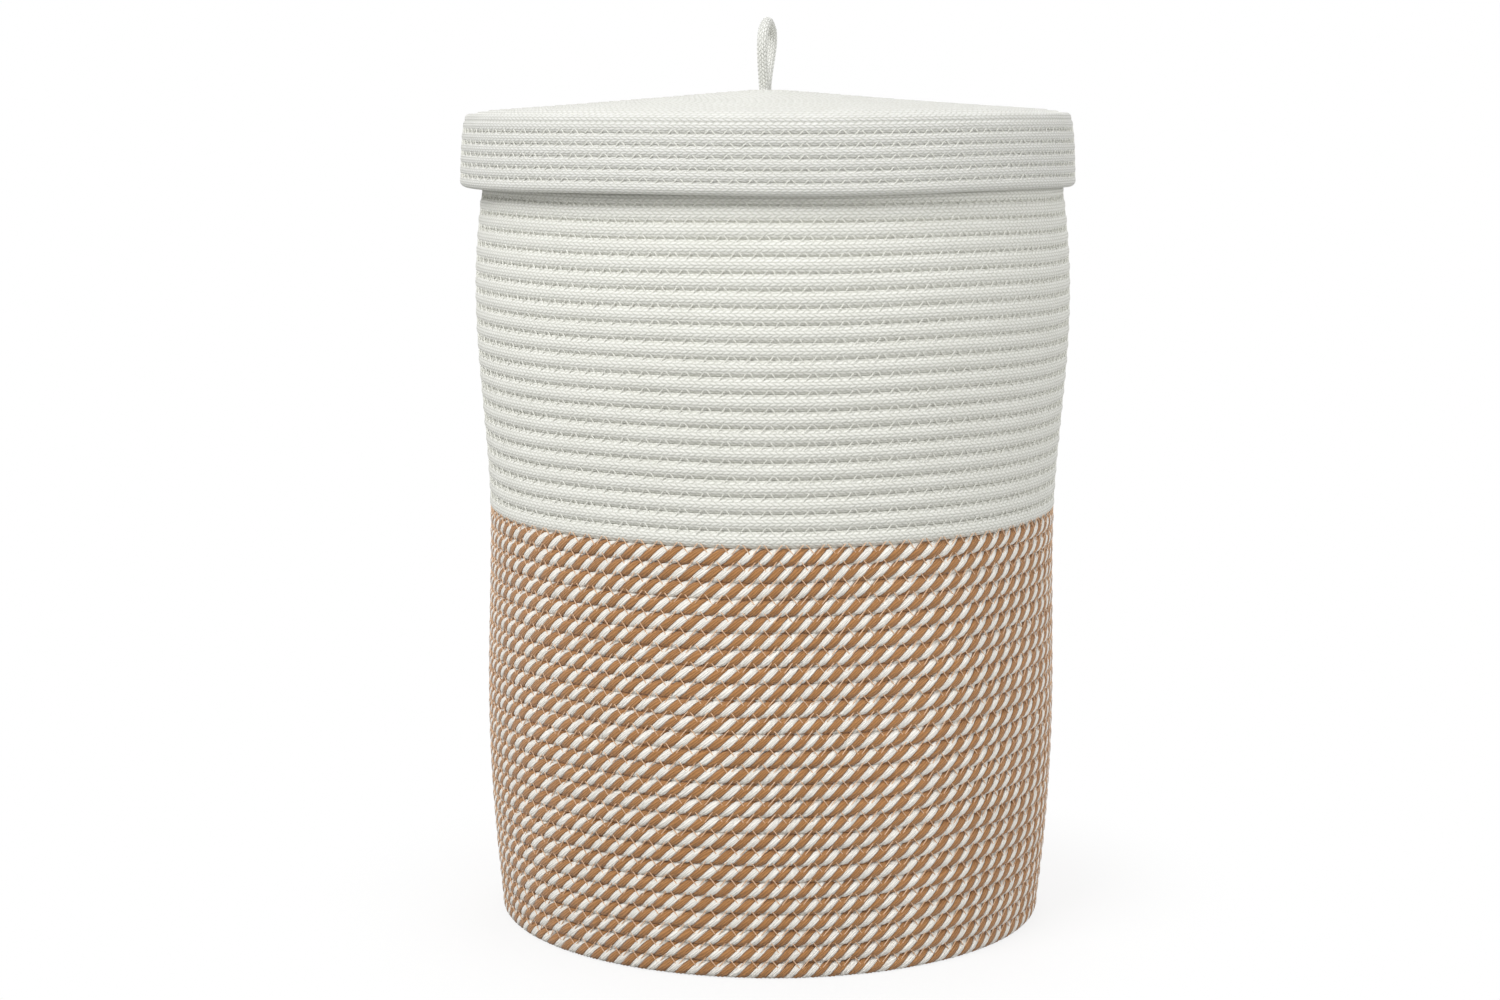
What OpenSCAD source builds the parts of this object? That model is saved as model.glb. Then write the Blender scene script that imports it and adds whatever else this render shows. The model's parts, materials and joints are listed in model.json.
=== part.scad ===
// Laundry hamper of coiled cotton rope with a lift-off lid.
//
// The basket is one long rope coiled flat for the base and then upwards for the
// wall, two-colour twisted rope below and white braided rope above. Zigzag
// stitches sew each round to the next one. The lid is a shallow cone of thinner
// white rope with a skirt that drops over the mouth, and a cord loop to lift it.
// Millimetres, +Z up, the origin on the floor under the middle of the base.

/* [Basket rope] */
// Diameter of the two-colour twisted rope of the base and the lower wall
lower_rope_d = 10.6; // [8:0.1:13]
// Diameter of the white braided rope of the upper wall
upper_rope_d = 10.4; // [8:0.1:13]
// How far the sewing squeezes two neighbouring rounds into each other
rope_squeeze = 0.3; // [0.1:0.05:0.6]
// Gap where one rope lies against another one
rope_gap = 0.1; // [0.05:0.05:0.2]
// Rounds of twisted rope in the wall, counted from the floor
lower_rounds = 26; // [14:1:40]
// Rounds of braided rope above them
upper_rounds = 25; // [12:1:36]
// How far the rope that stands on the floor is pressed flat
foot_flat = 0.4; // [0.2:0.05:0.6]

/* [Basket outline] */
// Outer radius at the floor
foot_r = 179.3; // [150:0.1:220]
// Outer radius where the lower wall is widest
belly_r = 186.9; // [158:0.1:228]
// Outer radius at the waist near the change of rope
waist_r = 185.2; // [156:0.1:226]
// Outer radius where the upper wall is widest
shoulder_r = 193.1; // [164:0.1:234]
// Outer radius of the top round, which the lid rests on
mouth_r = 182; // [152:0.1:222]
// Place of the belly as a share of the wall's rounds
belly_at = 0.27; // [0.2:0.01:0.35]
// Place of the waist as a share of the wall's rounds
waist_at = 0.49; // [0.4:0.01:0.55]
// Place of the shoulder as a share of the wall's rounds
shoulder_at = 0.78; // [0.7:0.01:0.85]

/* [Lid] */
// Diameter of the rope that the lid is coiled from
lid_rope_d = 7.3; // [5:0.1:9]
// How far the sewing squeezes two neighbouring rounds of it into each other
lid_squeeze = 0.2; // [0.1:0.05:0.4]
// Rounds in the skirt
skirt_rounds = 6; // [3:1:9]
// Angle above level at which the top's outermost round leans in over the skirt
corner_turn = 48; // [20:1:60]
// Rise of the lid's top from its outermost round to its innermost one
lid_rise = 12.5; // [6:1:40]
// Radial room between the skirt and the widest round that it covers
skirt_clearance = 3; // [2:0.1:12]
// Gap between the lid and the top round of the wall
seat_gap = 0.3; // [0.2:0.05:0.6]

/* [Loop handle] */
// Diameter of the cord
cord_d = 6.2; // [4:0.1:8]
// Height of the loop above the axis that it folds on
loop_h = 43.5; // [30:0.5:80]
// Width of the loop between the middles of its legs
loop_w = 28; // [20:1:40]
// Diameter of the stopper knot inside the lid
knot_d = 19; // [17:0.5:26]
// Length of the cord's ends below the middle of the knot
end_l = 22; // [18:1:40]
// Running gap round the cord
cord_gap = 0.3; // [0.2:0.05:0.6]

/* [Sewing] */
// Width of the zigzag stitches across a groove
stitch_w = 2.4; // [1.5:0.1:3]
// Thickness of the sewing thread
thread_d = 0.6; // [0.4:0.05:0.8]
// Gap between the stitches and the rope that they cross
stitch_gap = 0.25; // [0.15:0.05:0.4]

/* [Hidden] */

WHITE = [0.90, 0.90, 0.86];
TAN = [0.70, 0.49, 0.31];
PEACH = [0.88, 0.70, 0.55];

RING_FN = 120; // facets round a coil
ROPE_FN = 32;  // facets round the rope itself
BALL_FN = 64;  // facets round a knot
CORD_FN = 16;  // facets round the loop's cord
BOW_STEPS = 24; // steps along the loop's bow

// Wall: the middle of each round of rope as [radius, height]
lower_pitch = lower_rope_d - rope_squeeze;
upper_pitch = upper_rope_d - rope_squeeze;
change_pitch = (lower_rope_d + upper_rope_d)/2 + rope_gap;
wall_rounds = lower_rounds + upper_rounds;
foot_z = lower_rope_d/2 - foot_flat;
lower_wall = [for (i = [0 : lower_rounds - 1]) [wall_x(i), wall_z(i)]];
upper_wall = [for (i = [lower_rounds : wall_rounds - 1]) [wall_x(i), wall_z(i)]];
rim = upper_wall[upper_rounds - 1];

// Base: rings from the middle out to the one that lies against the wall's first round
base_out = lower_wall[0].x - lower_rope_d - rope_gap;
base_rings = ceil(base_out/lower_pitch);
base = [for (k = [1 : base_rings]) [k*base_out/base_rings, foot_z]];

// Lid: the middle of each round of rope in the skirt and in the top
lid_pitch = lid_rope_d - lid_squeeze;
skirt_drop = (skirt_rounds - 1)*lid_pitch + lid_rope_d;
covered = [for (p = upper_wall) if (p.y > rim.y - skirt_drop) p.x + upper_rope_d/2];
skirt_r = max(covered) + skirt_clearance + lid_rope_d/2;
eye_r = cord_d + cord_gap;
first_r = eye_r + lid_rope_d/2;
corner_in = (lid_rope_d + rope_gap)*cos(corner_turn);
corner_up = (lid_rope_d + rope_gap)*sin(corner_turn);
top_span = skirt_r - corner_in - first_r;
top_length = norm([top_span, lid_rise]);
top_steps = ceil(top_length/lid_pitch);
// Each round of the top as its radius and its height above the skirt's top round
top_shape = [for (k = [0 : top_steps]) [
    first_r + k*top_span/top_steps,
    corner_up + lid_rise*(1 - k/top_steps)
]];
// The lid's rounds and the stitches between them rest on the rim, on a line
top_under = max(lid_rope_d/2, stitch_reach(lid_rope_d, top_length/top_steps) + thread_d/2);
seat_up = (upper_rope_d/2 + seat_gap + top_under)*top_length/top_span;
corner_z = rim.y + seat_up - corner_up - lid_rise*(first_r + top_span - rim.x)/top_span;
top = [for (p = top_shape) p + [0, corner_z]];
skirt = [for (i = [0 : skirt_rounds - 1]) [skirt_r, corner_z - i*lid_pitch]];

// Loop: a teardrop in the YZ plane, which folds on an axis along Y
eye_z = top[0].y;
hinge_z = eye_z + lid_rope_d/2 + cord_gap + cord_d/2;
leg_y = cord_d/2 + cord_gap/4;
bow_r = loop_w/2;
bow_z = loop_h - bow_r - cord_d/2;
leg_slant = asin(bow_r/norm([leg_y, bow_z])) - atan2(leg_y, bow_z);
// One straight leg, the bow over the top and the other leg, as [point, direction]
loop_line = concat(
    [[[0, leg_y, 0], [0, sin(leg_slant), cos(leg_slant)]]],
    [for (a = [-leg_slant : (180 + 2*leg_slant)/BOW_STEPS : 180 + leg_slant + 0.01])
        [[0, bow_r*cos(a), bow_z + bow_r*sin(a)], [0, -sin(a), cos(a)]]],
    [[[0, -leg_y, 0], [0, sin(leg_slant), -cos(leg_slant)]]]
);
// The knot hangs below the eye, close under the innermost round
knot_z = eye_z - sqrt(pow(knot_d/2 + lid_rope_d/2 + cord_gap, 2) - first_r*first_r);

// Outer radius of the wall at a share t of its rounds: it swells from the foot to the
// belly, draws in at the waist, swells at the shoulder and rounds in to the mouth
function wall_r(t) =
    t < belly_at ? foot_r + (belly_r - foot_r)*sin(90*t/belly_at)
    : t < waist_at ? ease(belly_r, waist_r, (t - belly_at)/(waist_at - belly_at))
    : t < shoulder_at ? ease(waist_r, shoulder_r, (t - waist_at)/(shoulder_at - waist_at))
    : shoulder_r + (mouth_r - shoulder_r)*(1 - cos(90*(t - shoulder_at)/(1 - shoulder_at)));
function ease(a, b, s) = a + (b - a)*(1 - cos(180*s))/2;

// Round i of the wall lies a pitch from the one below it, however the wall leans
function wall_pitch(i) = i < lower_rounds ? lower_pitch : i > lower_rounds ? upper_pitch : change_pitch;
function wall_x(i) = wall_r(i/(wall_rounds - 1)) - (i < lower_rounds ? lower_rope_d : upper_rope_d)/2;
function wall_z(i) =
    i < 1 ? foot_z
    : wall_z(i - 1) + sqrt(max(0, pow(wall_pitch(i), 2) - pow(wall_x(i) - wall_x(i - 1), 2)));

// How far the middle of a stitch lies from the line between two rounds of rope of
// diameter d whose middles are gap apart
function stitch_reach(d, gap) =
    sqrt(pow(d/2 + stitch_gap, 2) - pow((gap - stitch_w)/2, 2)) + thread_d/2;

// Rounds of rope of diameter d at the places in path
module rounds(path, d) {
    rotate_extrude($fn = RING_FN)
        for (p = path)
            translate(p) circle(d = d, $fn = ROPE_FN);
}

// A row of stitches in each groove between neighbouring rounds of path, seen
// from the sides given: 1 is on the right of the path and -1 on its left
module stitches(path, d, sides = [-1, 1]) {
    rotate_extrude($fn = RING_FN)
        for (i = [0 : len(path) - 2], side = sides)
            groove(path[i], path[i + 1], d, side) square([stitch_w, thread_d], center = true);
}

// Puts its child across the groove between rounds p and q, on the side that side picks
module groove(p, q, d, side) {
    gap = norm(q - p);
    translate((p + q)/2 + side*stitch_reach(d, gap)*[q.y - p.y, p.x - q.x]/gap)
        rotate(atan2(q.y - p.y, q.x - p.x)) children();
}

// Cuts away what the floor presses flat
module on_floor() {
    difference() {
        children();
        translate([0, 0, -lower_rope_d]) cylinder(h = lower_rope_d, r = foot_r + lower_rope_d);
    }
}

module base_rope() color(TAN) on_floor() {
    rounds(base, lower_rope_d);
    translate([0, 0, foot_z]) sphere(d = lower_rope_d, $fn = BALL_FN);
}

module lower_wall_rope() color(TAN) on_floor() rounds(lower_wall, lower_rope_d);

module upper_wall_rope() color(WHITE) rounds(upper_wall, upper_rope_d);

// The groove in the corner to the wall is sewn from below
module base_stitches() color(PEACH) {
    stitches(base, lower_rope_d);
    stitches([base[base_rings - 1], lower_wall[0]], lower_rope_d, [1]);
}

module lower_wall_stitches() color(PEACH) stitches(lower_wall, lower_rope_d);

module change_stitches() color(WHITE)
    stitches([lower_wall[lower_rounds - 1], upper_wall[0]], max(lower_rope_d, upper_rope_d));

module upper_wall_stitches() color(WHITE) stitches(upper_wall, upper_rope_d);

module lid_top_rope() color(WHITE) rounds(top, lid_rope_d);

module lid_skirt_rope() color(WHITE) rounds(skirt, lid_rope_d);

// The groove beside the corner to the skirt is sewn from above
module lid_top_stitches() color(WHITE) {
    stitches(top, lid_rope_d);
    stitches([top[top_steps], skirt[0]], lid_rope_d, [-1]);
}

module lid_skirt_stitches() color(WHITE) stitches(skirt, lid_rope_d);

// The two ends of the loop's cord, from the eye down through the knot
module loop_ends() color(WHITE) cord_pair(cord_d, knot_z - end_l, hinge_z - cord_d/2 - cord_gap);

// The stopper knot round them, inside the lid
module loop_knot() color(WHITE) {
    difference() {
        translate([0, 0, knot_z]) sphere(d = knot_d, $fn = BALL_FN);
        cord_pair(cord_d + 2*cord_gap, knot_z - knot_d, knot_z + knot_d);
    }
}

// Two upright cords of diameter d side by side, from bottom to top
module cord_pair(d, bottom, top) {
    for (side = [-1, 1])
        translate([0, side*leg_y, bottom]) cylinder(h = top - bottom, d = d, $fn = ROPE_FN);
}

module loop_handle() color(WHITE) translate([0, 0, hinge_z]) tube(loop_line, cord_d/2);

// A closed tube of radius r along line, a list of [point, direction] in the YZ
// plane, with a rounded end before the first place and after the last
module tube(line, r) {
    last = len(line) - 1;
    rings = [
        for (a = [75, 50, 25]) [line[0][0] - r*sin(a)*line[0][1], line[0][1], r*cos(a)],
        for (s = line) [s[0], s[1], r],
        for (a = [25, 50, 75]) [line[last][0] + r*sin(a)*line[last][1], line[last][1], r*cos(a)]
    ];
    points = [
        for (ring = rings, i = [0 : CORD_FN - 1])
            let (u = 360*i/CORD_FN)
            ring[0] + ring[2]*(cos(u)*[1, 0, 0] + sin(u)*cross([1, 0, 0], ring[1]))
    ];
    skin = [
        for (k = [0 : len(rings) - 2], i = [0 : CORD_FN - 1])
            let (a = k*CORD_FN + i, b = k*CORD_FN + (i + 1)%CORD_FN)
            each [[a, b, b + CORD_FN], [a, b + CORD_FN, a + CORD_FN]]
    ];
    first_cap = [for (i = [CORD_FN - 1 : -1 : 0]) i];
    last_cap = [for (i = [0 : CORD_FN - 1]) (len(rings) - 1)*CORD_FN + i];
    polyhedron(points, concat(skin, [first_cap, last_cap]));
}

base_rope();
lower_wall_rope();
upper_wall_rope();
base_stitches();
lower_wall_stitches();
change_stitches();
upper_wall_stitches();
lid_top_rope();
lid_skirt_rope();
lid_top_stitches();
lid_skirt_stitches();
loop_ends();
loop_knot();
loop_handle();
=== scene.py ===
"""Looks of the coiled rope hamper: every rope strand, braid and stitch as its own mesh."""
import json
import math
from collections import namedtuple

import bpy
import numpy as np
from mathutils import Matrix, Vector

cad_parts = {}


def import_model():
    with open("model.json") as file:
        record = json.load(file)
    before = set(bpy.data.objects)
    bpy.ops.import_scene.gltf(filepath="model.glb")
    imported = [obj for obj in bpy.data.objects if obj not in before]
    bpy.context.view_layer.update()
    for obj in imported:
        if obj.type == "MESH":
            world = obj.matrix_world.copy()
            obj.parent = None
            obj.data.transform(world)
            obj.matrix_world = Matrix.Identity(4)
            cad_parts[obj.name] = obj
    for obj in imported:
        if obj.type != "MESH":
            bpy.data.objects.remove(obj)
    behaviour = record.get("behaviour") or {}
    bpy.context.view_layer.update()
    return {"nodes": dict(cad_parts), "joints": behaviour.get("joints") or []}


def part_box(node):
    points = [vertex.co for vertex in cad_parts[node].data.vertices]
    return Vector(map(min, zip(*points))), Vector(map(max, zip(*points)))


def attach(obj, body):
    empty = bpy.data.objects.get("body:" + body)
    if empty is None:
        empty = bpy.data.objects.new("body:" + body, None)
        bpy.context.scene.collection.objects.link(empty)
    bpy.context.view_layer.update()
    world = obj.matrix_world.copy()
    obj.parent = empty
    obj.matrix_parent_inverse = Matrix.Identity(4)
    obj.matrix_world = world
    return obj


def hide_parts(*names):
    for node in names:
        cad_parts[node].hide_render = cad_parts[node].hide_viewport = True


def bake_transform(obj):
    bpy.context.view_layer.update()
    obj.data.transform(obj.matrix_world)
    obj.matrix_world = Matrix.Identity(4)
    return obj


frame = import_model()

MM = 0.001
TURN = 2 * math.pi

# ---------------------------------------------------------------- sizes, in metres

LOWER_D = 10.6 * MM        # two-colour twisted rope of the base and the lower wall
UPPER_D = 10.4 * MM        # white braided rope of the upper wall
LID_D = 7.3 * MM           # thinner braided rope of the lid
CORD_D = 6.9 * MM          # cord of the loop
BASE_ROUNDS, LOWER_ROUNDS, UPPER_ROUNDS = 16, 26, 25
TOP_ROUNDS, SKIRT_ROUNDS = 27, 6

VIEW_AZIMUTH = math.radians(11.5)               # the side that the camera looks from
STEP_ANGLE = VIEW_AZIMUTH + math.pi / 2         # where each round steps on to the next: the back
STEP_LENGTH = 130 * MM                          # length of rope over which it steps
CREST_BAND = 0.2           # how close to a crest its radius is measured, in rope diameters


def node_rz(node):
    """Radius and height of every vertex of a CAD node."""
    mesh = frame["nodes"][node].data
    co = np.empty(len(mesh.vertices) * 3)
    mesh.vertices.foreach_get("co", co)
    co = co.reshape(-1, 3)
    return np.hypot(co[:, 0], co[:, 1]), co[:, 2]


def wall_rounds(node, count, diameter, bottom=None):
    """Middle of each round of a wall node: heights from its box, radii from its crests."""
    r, z = node_rz(node)
    low = z.min() + diameter / 2 if bottom is None else bottom
    high = z.max() - diameter / 2
    rounds = []
    for height in np.linspace(low, high, count):
        near = np.abs(z - height) < diameter * CREST_BAND
        crest = r[near] - np.sqrt(diameter**2 / 4 - (z[near] - height) ** 2)
        rounds.append((float(crest.max()), float(height)))
    return rounds


def flat_rounds(node, count, diameter, eye):
    """Middle of each round of a flat or conical node, from the inside out."""
    r, z = node_rz(node)
    inner = r.min() + diameter / 2 if eye else (r.max() - diameter / 2) / count
    radii = np.linspace(inner, r.max() - diameter / 2, count)
    if eye:
        heights = np.linspace(z.max() - diameter / 2, z.min() + diameter / 2, count)
    else:
        heights = np.full(count, z.max() - diameter / 2)
    return list(zip(radii.tolist(), heights.tolist()))


base = flat_rounds("base_rope", BASE_ROUNDS, LOWER_D, eye=False)
base_z = base[0][1]
base.insert(0, (0.0, base_z))                   # the rope starts in the very middle
lower = wall_rounds("lower_wall_rope", LOWER_ROUNDS, LOWER_D, bottom=base_z)
upper = wall_rounds("upper_wall_rope", UPPER_ROUNDS, UPPER_D)
lid_top = flat_rounds("lid_top_rope", TOP_ROUNDS, LID_D, eye=True)
skirt = wall_rounds("lid_skirt_rope", SKIRT_ROUNDS, LID_D)[::-1]

# ---------------------------------------------------------------- coils

LENGTH_STEPS = 64          # points of a round at which its length is measured
SMALL_TURN = 0.001         # part of a turn over which a rope's direction is measured


def smooth(t):
    """0 up to 0, 1 from 1 on and a smooth step between them."""
    t = np.clip(t, 0, 1)
    return t * t * (3 - 2 * t)


def distances(points):
    """Length along a path, from its start to each point."""
    return np.concatenate([[0], np.cumsum(np.linalg.norm(np.diff(points, axis=0), axis=1))])


def unit(vectors):
    """The same directions with a length of 1."""
    return vectors / np.maximum(np.linalg.norm(vectors, axis=-1, keepdims=True), 1e-9)


def directions(path):
    """Direction of a path at each of its points."""
    return unit(np.gradient(path, axis=0))


class Coil:
    """One rope through a list of level rounds. turn 0 is where the first round starts, and the
    rope steps from round m - 1 to round m around turn m, all at the back of the hamper."""

    def __init__(self, rounds, shape):
        self.r = np.array([p[0] for p in rounds])
        self.z = np.array([p[1] for p in rounds])
        self.shape = shape
        self.whole = np.arange(len(rounds))
        self.turns = np.linspace(0, len(rounds), len(rounds) * LENGTH_STEPS + 1)
        self.lengths = distances(self.at(self.turns))

    def at(self, turn):
        """The rope's middle at each turn, as points."""
        turn = np.asarray(turn, float)
        m = np.clip(np.rint(turn), 1, len(self.r) - 1)
        width = np.minimum(1, STEP_LENGTH / (TURN * np.interp(m, self.whole, self.r)))
        index = np.clip(m - 1 + smooth((turn - m) / width + 0.5), 0, len(self.r) - 1)
        r, z = np.interp(index, self.whole, self.r), np.interp(index, self.whole, self.z)
        return self.shape(r, STEP_ANGLE + TURN * turn, z)

    def walk(self, start, end, step):
        """Turns from start to end, about step metres of rope apart."""
        first, last = self.length(start), self.length(end)
        count = max(3, int(round((last - first) / step)) + 1)
        return np.interp(np.linspace(first, last, count), self.lengths, self.turns)

    def length(self, turn):
        """Length of rope from turn 0."""
        return np.interp(turn, self.turns, self.lengths)

    def frames(self, turn):
        """Outward and upward directions across the rope."""
        tangent = unit(self.at(turn + SMALL_TURN) - self.at(turn - SMALL_TURN))
        up = unit(np.array([0, 0, 1]) - tangent * tangent[:, 2:])
        return np.cross(tangent, up), up


# ---------------------------------------------------------------- hand-made unevenness

CHANGE_Z, RIM_Z = upper[0][1], upper[-1][1]
SKIRT_TOP, SKIRT_BOTTOM = skirt[0][1], skirt[-1][1]
SKIRT_R = skirt[0][0]

# Tables of waves: height, number in a round, radians that they turn per metre up, and place
BASKET_IN_OUT = ((0.5 * MM, 2, 3, 0.6), (0.25 * MM, 5, 21, 0))
BASKET_UP_DOWN = ((0.3 * MM, 3, 9, 0), (0.2 * MM, 7, -14, 0))
LID_IN_OUT = ((0.3 * MM, 2, 0, 1.9), (0.2 * MM, 6, 40, 0))
LID_UP_DOWN = ((0.4 * MM, 3, 0, 2.54),)
SKIRT_UP_DOWN = ((-0.3 * MM, 5, 0, 1.1),)
TOP_SHARE = 0.4            # how much of the skirt's waves reach the lid's top

TRUE_R, FADE_R = 150 * MM, 20 * MM              # the base is true to the CAD up to TRUE_R
FADE_Z = 50 * MM           # height over which the wall's unevenness starts
CREEP = 2.7 * MM           # how far the rounds half-way up the white wall have crept up
WALL_LEAN, LEAN_Z = 1.3 * MM, 420 * MM          # how far the wall leans right, and up to where
FOOT_LEFT = 0.6 * MM       # how far left of the middle the basket stands
RIM_LEFT = 1.2 * MM        # how far the lid pulls the rim to the left

LID_LEFT = 2.7 * MM        # how far left of the middle the lid sits
LID_TILT = 0.5 * MM        # how far the lid's right side stands up and its left side hangs down
LID_DROP = 0.9 * MM        # how far the lid has settled on the rim, which gives way under it
CONE_SAG, SAG_EDGE = 0.4 * MM, 0.2              # sag half-way up the cone, and its inner limit
BRIM_START, BRIM_WIDTH = 110 * MM, 80 * MM      # radii over which the lid's top spreads out
BRIM_OUT = 1.9 * MM        # how far its outermost round has spread
BRIM_TURN = 0.84           # share of the brim at which it begins to turn down to the skirt
BRIM_DOWN = 1.5 * MM       # how far its outermost round lies lower for that
SKIRT_IN = 1.2 * MM        # how far the skirt's top round is drawn in
SKIRT_FLARE = 1.0 * MM     # how much farther out the skirt's lowest round is than its top round
SKIRT_UP = 0.6 * MM        # how far the skirt's lowest round is drawn up


def waves(table, angle, z):
    """Sum of a table's waves."""
    return sum(size * np.sin(count * angle + rise * z + place)
               for size, count, rise, place in table)


def shifted(r, angle, z, shift):
    """Points at a radius, an angle and a height, moved by shift to the view's right."""
    x = r * np.cos(angle) + shift * math.cos(VIEW_AZIMUTH)
    y = r * np.sin(angle) + shift * math.sin(VIEW_AZIMUTH)
    return np.stack([x, y, z], -1)


def basket_shape(r, angle, z):
    """The basket leans a little, is out of round and has wavy rounds. Its rim is true where the
    lid covers it, and follows the lid's tilt."""
    wall = smooth((r - TRUE_R) / FADE_R) * smooth(z / FADE_Z)
    covered = smooth((z - SKIRT_BOTTOM) / (RIM_Z - SKIRT_BOTTOM))
    white_up = np.clip((z - CHANGE_Z) / (RIM_Z - CHANGE_Z), 0, 1)
    dr = waves(BASKET_IN_OUT, angle, z) * (1 - covered)
    dz = waves(BASKET_UP_DOWN, angle, z) * (1 - covered)
    dz = dz + (LID_TILT * np.cos(angle - VIEW_AZIMUTH) - LID_DROP) * covered
    dz = dz + CREEP * np.sin(math.pi * white_up)
    lean = WALL_LEAN * smooth(z / LEAN_Z) - FOOT_LEFT - RIM_LEFT * covered
    return shifted(r + dr * wall, angle, z + dz * wall, lean)


def lid_shape(r, angle, z):
    """The lid sits a little to the left and tilts. Its cone sags and spreads at its brim, which
    turns down to the skirt, and the skirt flares downwards."""
    edge = smooth(r / SKIRT_R)
    drop = np.clip((SKIRT_TOP - z) / (SKIRT_TOP - SKIRT_BOTTOM), 0, 1)
    in_skirt = z < SKIRT_TOP + 1 * MM
    brim = np.where(in_skirt, 0, np.clip((r - BRIM_START) / BRIM_WIDTH, 0, 1))
    hang = SKIRT_FLARE * (drop - 0.5) - SKIRT_IN * (1 - drop) ** 4
    dr = waves(LID_IN_OUT, angle, z) + np.where(in_skirt, hang, BRIM_OUT * brim)
    dz = waves(LID_UP_DOWN, angle, z) + waves(SKIRT_UP_DOWN, angle, z) * (TOP_SHARE + drop)
    dz = dz + LID_TILT * np.cos(angle - VIEW_AZIMUTH) * r / SKIRT_R - LID_DROP
    dz = dz - BRIM_DOWN * smooth((brim - BRIM_TURN) / (1 - BRIM_TURN)) + SKIRT_UP * drop
    sag = CONE_SAG * np.sin(math.pi * np.clip(r / SKIRT_R, 0, 1))
    dz = dz - sag / edge.clip(SAG_EDGE, 1)
    return shifted(r + dr * edge, angle, z + dz * edge, -LID_LEFT)


basket_coil = Coil(base + lower + upper, basket_shape)
lid_coil = Coil(lid_top + skirt, lid_shape)

# ---------------------------------------------------------------- meshes

Tube = namedtuple("Tube", "vertices corners starts uvs smooth")
END_RING = 0.005           # place of the extra ring close to each end, in rings
TIP = 0.1                  # thickness that is left at the very tip of a dome, as a share


def tube(points, along):
    """A closed tube through points[ring, side]. Its UV is each ring's place along the rope, in
    mm, and the share of the way round. A ring close to each end keeps the shading of the flat
    end off the tube."""
    last = len(points) - 1
    place = np.array([0, END_RING, *range(1, last), last - END_RING, last])
    below = np.minimum(place.astype(int), last - 1)
    part = (place - below)[:, None, None]
    points = points[below] * (1 - part) + points[below + 1] * part
    along = np.interp(place, np.arange(len(along)), along) / MM
    rings, sides = points.shape[:2]
    here = np.arange((rings - 1) * sides)
    side = here % sides
    beside = here - side + (side + 1) % sides
    quads = np.stack([here, here + sides, beside + sides, beside], -1)
    first_ring = np.arange(sides)
    last_ring = (rings - 1) * sides + first_ring
    near, far = np.repeat(along[:-1], sides), np.repeat(along[1:], sides)
    u = [np.stack([near, far, far, near], -1).ravel(), np.full(sides, 0.0),
         np.full(sides, along[-1])]
    v = [np.stack([side, side, side + 1, side + 1], -1).ravel(), first_ring, first_ring]
    return Tube(
        vertices=points.reshape(-1, 3),
        corners=np.concatenate([quads.ravel(), first_ring, last_ring[::-1]]),
        starts=np.concatenate([np.arange(len(quads)) * 4, len(quads) * 4 + np.array([0, sides])]),
        uvs=np.stack([np.concatenate(u), np.concatenate(v) / sides], -1),
        smooth=np.arange(len(quads) + 2) < len(quads),
    )


def tubes_object(name, tubes, material):
    """An object of one mesh that holds all the tubes."""
    vertices = np.concatenate([t.vertices for t in tubes])
    before = np.cumsum([0] + [len(t.vertices) for t in tubes])
    corners = np.concatenate([t.corners + n for t, n in zip(tubes, before)])
    before = np.cumsum([0] + [len(t.corners) for t in tubes])
    starts = np.concatenate([t.starts + n for t, n in zip(tubes, before)])
    uvs = np.concatenate([t.uvs for t in tubes])
    mesh = bpy.data.meshes.new(name)
    mesh.vertices.add(len(vertices))
    mesh.vertices.foreach_set("co", vertices.astype(np.float32).ravel())
    mesh.loops.add(len(corners))
    mesh.loops.foreach_set("vertex_index", corners.astype(np.int32))
    mesh.polygons.add(len(starts))
    mesh.polygons.foreach_set("loop_start", starts.astype(np.int32))
    layer = mesh.uv_layers.new(name="rope")
    layer.data.foreach_set("uv", uvs.astype(np.float32).ravel())
    mesh.polygons.foreach_set("use_smooth", np.concatenate([t.smooth for t in tubes]))
    mesh.update(calc_edges=True)
    mesh.materials.append(material)
    obj = bpy.data.objects.new(name, mesh)
    bpy.context.collection.objects.link(obj)
    return obj


def piece(name, tubes, material, body, slot, *nodes):
    """A piece of the hamper: it rides on a body and stands for CAD nodes."""
    obj = tubes_object(name, tubes, material)
    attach(obj, body)
    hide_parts(*nodes)


def ring_points(points, out, up, radius, angles):
    """Rings round a path, with a radius and an angle for each point of a ring."""
    radius, angles = np.broadcast_arrays(radius, angles)
    across = np.cos(angles)[..., None] * out[:, None] + np.sin(angles)[..., None] * up[:, None]
    return points[:, None] + radius[..., None] * across


def domed(distance, reach):
    """Thickness of a tube at a distance from its end, which is closed by a dome."""
    return np.sqrt(np.clip(1 - np.clip(1 - distance / reach, 0, 1) ** 2, TIP**2, 1))


def swell(along, lengths, places):
    """Unevenness of a rope's thickness, -1 to 1: two waves of these lengths / TURN."""
    return np.sin(along / lengths[0] + places[0]) * np.sin(along / lengths[1] + places[1])


def pressed(angles, half_out, half_up, power):
    """Radius at each angle of a section that its neighbours press a little square."""
    out, up = np.abs(np.cos(angles)) / half_out, np.abs(np.sin(angles)) / half_up
    return (out**power + up**power) ** (-1 / power)


# Braids: columns of yarns round the rope, and the length of a yarn along it
WALL_CELLS, WALL_YARN = 16, 4.15 * MM
LID_CELLS, LID_YARN = 14, 4.3 * MM
CORD_CELLS, CORD_YARN = 12, 2.8 * MM
YARN_SLANT = 0.5           # how far a yarn of a braid leans over its column, in yarns
YARN_DIP = 3.4             # how far it dips at the sides of its column: 4 is right down


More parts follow.
